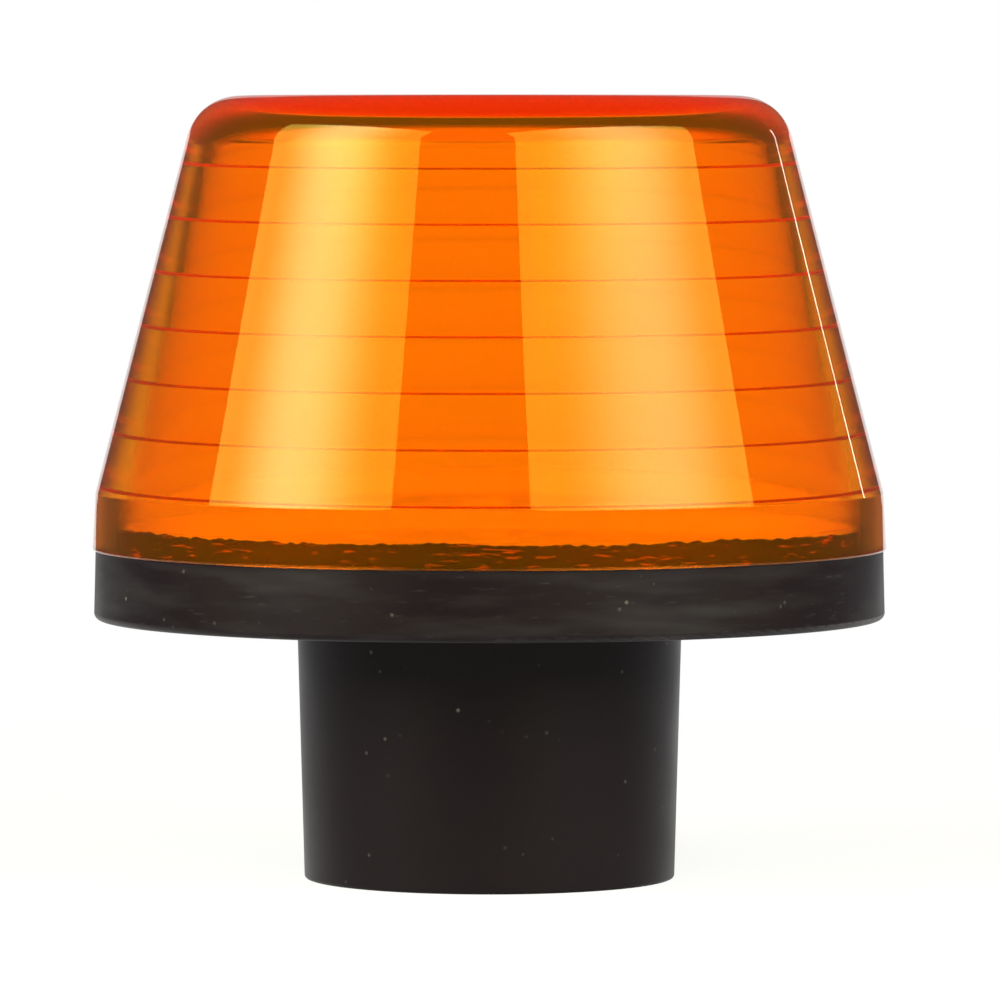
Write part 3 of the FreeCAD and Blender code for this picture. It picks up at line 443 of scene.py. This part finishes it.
# %% Sealant
SEALANT_INNER = 55.45
SEALANT_OUTER = 56.42
SEALANT_TOP = 53.4
SEALANT_SEGMENTS = 720
STILL_SHARE = 0.3
SWAY = 0.75
SWAY_NOISES = (  # scale on the circle, share of the sway, start of the noise
    (4, 0.55, 3),
    (38, 0.45, 0),
    (120, 0.2, 0),
)
sealant_points = [Vector(spot) for spot in (
    (SEALANT_INNER, FOOT_HEIGHT),
    (SEALANT_OUTER, FOOT_HEIGHT),
    (SEALANT_OUTER - 0.06, 51.2),
    (SEALANT_OUTER - 0.12, 52.4),
    (SEALANT_OUTER - 0.18, SEALANT_TOP),
    (SEALANT_INNER + 0.3, SEALANT_TOP + 0.1),
    (SEALANT_INNER, SEALANT_TOP - 0.2),
)]
sealant = spin_outline("sealant_bead", sealant_points, SEALANT_SEGMENTS, closed=True)
for vertex in sealant.data.vertices:
    share = (vertex.co.z / MM - FOOT_HEIGHT) / (SEALANT_TOP - FOOT_HEIGHT)
    if share < STILL_SHARE:
        continue
    circle_spot = Vector((vertex.co.x, vertex.co.y, 0)).normalized()
    sway = sum(amount * noise.noise(circle_spot * scale + Vector((start, 0, 0)))
               for scale, amount, start in SWAY_NOISES)
    vertex.co.z += share * sway * SWAY * MM
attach(sealant, "housing")
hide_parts("lens_sealant")

# %% [markdown]
# One node group serves most of the moulded parts. It reads Object coordinates and gives a fine grain for the
# bump, a slow change of gloss, and a mask of pale dust specks. Each material takes its own scale from it.

# %% Shared surface group
surface_group = bpy.data.node_groups.new("moulded_surface", "ShaderNodeTree")
for label, value in (("Grain Scale", 2500), ("Dust", 0.3)):
    socket = surface_group.interface.new_socket(label, in_out="INPUT", socket_type="NodeSocketFloat")
    socket.default_value = value
for label in ("Grain", "Gloss Change", "Dust"):
    surface_group.interface.new_socket(label, in_out="OUTPUT", socket_type="NodeSocketFloat")
group_in = surface_group.nodes.new("NodeGroupInput").outputs
coordinates = object_coordinates(surface_group)
specks = new_node(surface_group, "ShaderNodeTexVoronoi", {"Vector": coordinates, "Scale": 420})
near_speck = map_range(surface_group, specks.outputs["Distance"], 0.16, 0.04)
dusty_patch = map_range(surface_group, noise_value(surface_group, coordinates, 140, 5), 0.55, 0.7)
dust_mask = calculate(surface_group, "MULTIPLY", near_speck, dusty_patch)
new_node(surface_group, "NodeGroupOutput", {
    "Grain": noise_value(surface_group, coordinates, group_in["Grain Scale"], 3),
    "Gloss Change": noise_value(surface_group, coordinates, 60, 4),
    "Dust": calculate(surface_group, "MULTIPLY", dust_mask, group_in["Dust"]),
})

# %% [markdown]
# The black base is moulded plastic with a soft sheen. Grain goes to the bump, the slow noise moves the
# roughness a little, and the dust mask mixes pale specks into the colour. The same builder, with other
# values, makes the plain plastics, boards, rubber and metals inside.


# %% Plain finishes
GLOSS_CHANGE = 0.1
GRAIN_DEPTH = 0.02 * MM
DUST_COLOUR = (0.35, 0.32, 0.3, 1)
RUB_COLOUR = (0.03, 0.03, 0.034, 1)
RIM_CLEAN_BELOW = 38.8 * MM
RIM_WORN_ABOVE = 40 * MM
RIM_MARKS = (  # scale, detail, start and end of the noise that shows, amount: scratches, then rubs
    (330, 8, 0.62, 0.74, 0.35),
    (45, 5, 0.45, 0.75, 0.3),
)


def finish(name, colour, roughness, metallic=0.0, grain_scale=2500, bump=0.1, dust=0.0, sheen_level=0.5):
    """A rigid finish on the shared surface group, with its colour in linear values."""
    material, tree, shader = new_material(name)
    group_node = tree.nodes.new("ShaderNodeGroup")
    group_node.node_tree = surface_group
    set_inputs(tree, group_node, {"Grain Scale": grain_scale, "Dust": dust})
    surface = group_node.outputs
    relief = new_node(tree, "ShaderNodeBump", {
        "Strength": bump,
        "Distance": GRAIN_DEPTH,
        "Height": surface["Grain"],
    })
    set_inputs(tree, shader, {
        "Metallic": metallic,
        "Specular IOR Level": sheen_level,
        "Base Color": blend(tree, surface["Dust"], (*colour, 1), DUST_COLOUR),
        "Roughness": map_range(tree, surface["Gloss Change"],
                               to_min=roughness - GLOSS_CHANGE, to_max=roughness + GLOSS_CHANGE),
        "Normal": relief.outputs["Normal"],
    })
    return material


def wear_rim(material):
    """Adds pale rubs and fine scratches to the rim, as handling leaves them on black plastic."""
    tree = material.node_tree
    base_colour = tree.nodes["Principled BSDF"].inputs["Base Color"]
    coordinates = object_coordinates(tree)
    stretched = new_node(tree, "ShaderNodeMapping", {
        "Rotation": (0.5, 0.3, 0.2),
        "Scale": (1, 1, 7),
        "Vector": coordinates,
    }).outputs["Vector"]
    height = new_node(tree, "ShaderNodeSeparateXYZ", {"Vector": coordinates}).outputs["Z"]
    on_rim = map_range(tree, height, RIM_CLEAN_BELOW, RIM_WORN_ABOVE)
    marks = [map_range(tree, noise_value(tree, stretched, scale, detail), start, end, to_max=amount)
             for scale, detail, start, end, amount in RIM_MARKS]
    rub = calculate(tree, "MULTIPLY", calculate(tree, "MAXIMUM", *marks), on_rim)
    feed(tree, base_colour, blend(tree, rub, base_colour.links[0].from_socket, RUB_COLOUR))


finishes = {
    "base_black": finish("base_black", (0.0042, 0.002, 0.0036), 0.38, dust=0.25, bump=0.2, sheen_level=0.12),
    "reflector_white": finish("reflector_white", (0.8, 0.8, 0.78), 0.4),
    "board_white": finish("board_white", (0.62, 0.66, 0.62), 0.45),
    "chip_ceramic": finish("chip_ceramic", (0.8, 0.77, 0.66), 0.5),
    "screw_steel": finish("screw_steel", (0.55, 0.55, 0.55), 0.32, metallic=1.0, grain_scale=6000),
    "chip_black": finish("chip_black", (0.02, 0.02, 0.022), 0.5),
    "coil_grey": finish("coil_grey", (0.07, 0.07, 0.075), 0.55),
    "capacitor_tan": finish("capacitor_tan", (0.25, 0.15, 0.08), 0.5),
    "magazine_grey": finish("magazine_grey", (0.09, 0.095, 0.1), 0.5),
    "cell_metal": finish("cell_metal", (0.5, 0.51, 0.53), 0.3, metallic=1.0, grain_scale=5000),
    "contact_brass": finish("contact_brass", (0.72, 0.5, 0.22), 0.28, metallic=1.0, grain_scale=5000),
    "lead_red": finish("lead_red", (0.42, 0.015, 0.01), 0.5),
    "lead_black": finish("lead_black", (0.015, 0.015, 0.015), 0.5),
    "disc_green": finish("disc_green", (0.01, 0.09, 0.035), 0.35),
    "seal_rubber": finish("seal_rubber", (0.012, 0.012, 0.012), 0.6),
    "button_grey": finish("button_grey", (0.06, 0.06, 0.063), 0.55),
}
wear_rim(finishes["base_black"])

# %% [markdown]
# The lens has one material with two sides. Its outer side is polished, and its inner side a little soft,
# which blurs the far wall as a moulded inside does. The ledges of the rings are less clear, so they show as
# fine red lines. Much of the colour is in the depth: light loses its green on its way, so a long path through
# the plastic turns red. Rays that have turned six times in the plastic get a painted deep red glow, an
# emission that stands in for light carried sideways through the plastic. It is strongest near the top.

# %% Clear orange
DEEP_PATH_TURNS = 6
HALF_TURN = 0.5
orange, orange_tree, orange_shader = new_material("lens_orange")


def lens_mark(attribute_name):
    """The value of one of the attributes that were set on the lens."""
    mark = orange_tree.nodes.new("ShaderNodeAttribute")
    mark.attribute_name = attribute_name
    return mark.outputs["Fac"]


inner_side = lens_mark("inner")
ledge = lens_mark("ledge")
# Painted glow: deep red emission on rays six turns deep, weaker away from the top of the lens.
turns = orange_tree.nodes.new("ShaderNodeLightPath").outputs["Ray Depth"]
painted_glow_on_deep_rays = calculate(orange_tree, "COMPARE", turns, DEEP_PATH_TURNS, HALF_TURN)
lens_place = new_node(orange_tree, "ShaderNodeSeparateXYZ", {"Vector": object_coordinates(orange_tree)})
painted_glow_height_share = map_range(orange_tree, lens_place.outputs["Z"],
                    (TOP_HEIGHT - 20) * MM, (TOP_HEIGHT - 9) * MM, to_min=0.12)
set_inputs(orange_tree, orange_shader, {
    "IOR": 1.41,
    "Specular Tint": (1.0, 0.85, 0.22, 1),
    "Transmission Weight": map_range(orange_tree, ledge, to_min=0.985, to_max=0.6),
    "Base Color": blend(orange_tree, ledge, (1.0, 0.51, 0.01, 1), (0.7, 0.06, 0.0, 1)),
    "Roughness": map_range(orange_tree, inner_side, to_min=0.015, to_max=0.11),
    # This emission is a painted glow, not a lamp.
    "Emission Strength": calculate(orange_tree, "MULTIPLY", painted_glow_on_deep_rays, painted_glow_height_share),
    "Emission Color": (1.0, 0.34, 0.0, 1),
})
depth_colour = new_node(orange_tree, "ShaderNodeVolumeAbsorption", {
    "Color": (0.99, 0.69, 0.0, 1),
    "Density": 200,
})
feed(orange_tree, orange_tree.nodes["Material Output"].inputs["Volume"], depth_colour.outputs["Volume"])
lens.data.materials.append(orange)

# %% [markdown]
# The small domes over the light chips are clear silicone, a little soft in their gloss.

# %% Clear domes
silicone, silicone_tree, silicone_shader = new_material("chip_dome")
set_inputs(silicone_tree, silicone_shader, {
    "Base Color": (1.0, 0.9, 0.6, 1),
    "Transmission Weight": 1.0,
    "Roughness": 0.12,
    "IOR": 1.41,
})
finishes["chip_dome"] = silicone

# %% [markdown]
# The sealant has cured to a dark brown rubber. Its colour runs from near black to rusty orange in streaks that
# are longer than they are high. The rusty orange is painted light: it stands in for the orange light that thin,
# streaky places let through.

# %% Sealant finish
bead_brown, bead_tree, bead_shader = new_material("sealant")
stretched = new_node(bead_tree, "ShaderNodeMapping", {
    "Scale": (1, 1, 7),
    "Vector": object_coordinates(bead_tree),
})
# The first stop is the rubber's own dark brown. The second, rusty orange, is painted light showing through thin
# places.
brown_and_painted_glow = bead_tree.nodes.new("ShaderNodeValToRGB")
for stop, (position, tone) in zip(brown_and_painted_glow.color_ramp.elements, (
        (0.58, (0.008, 0.002, 0.001, 1)),
        (0.72, (0.5, 0.12, 0.01, 1)))):
    stop.position = position
    stop.color = tone
feed(bead_tree, brown_and_painted_glow.inputs["Fac"], noise_value(bead_tree, stretched.outputs["Vector"], 260, 6))
set_inputs(bead_tree, bead_shader, {
    "Base Color": brown_and_painted_glow.outputs["Color"],
    "Roughness": 0.45,
    "Specular Tint": (1.0, 0.45, 0.3, 1),
})
sealant.data.materials.append(bead_brown)

# %% [markdown]
# Each solid that is shown as it is takes the finish that its slot in the record names.

# %% Dress the frame
for subpart in frame["record"]["subparts"]:
    slot_name = subpart["material_slot"]
    if slot_name in finishes:
        nodes[subpart["node"]].data.materials.clear()
        nodes[subpart["node"]].data.materials.append(finishes[slot_name])
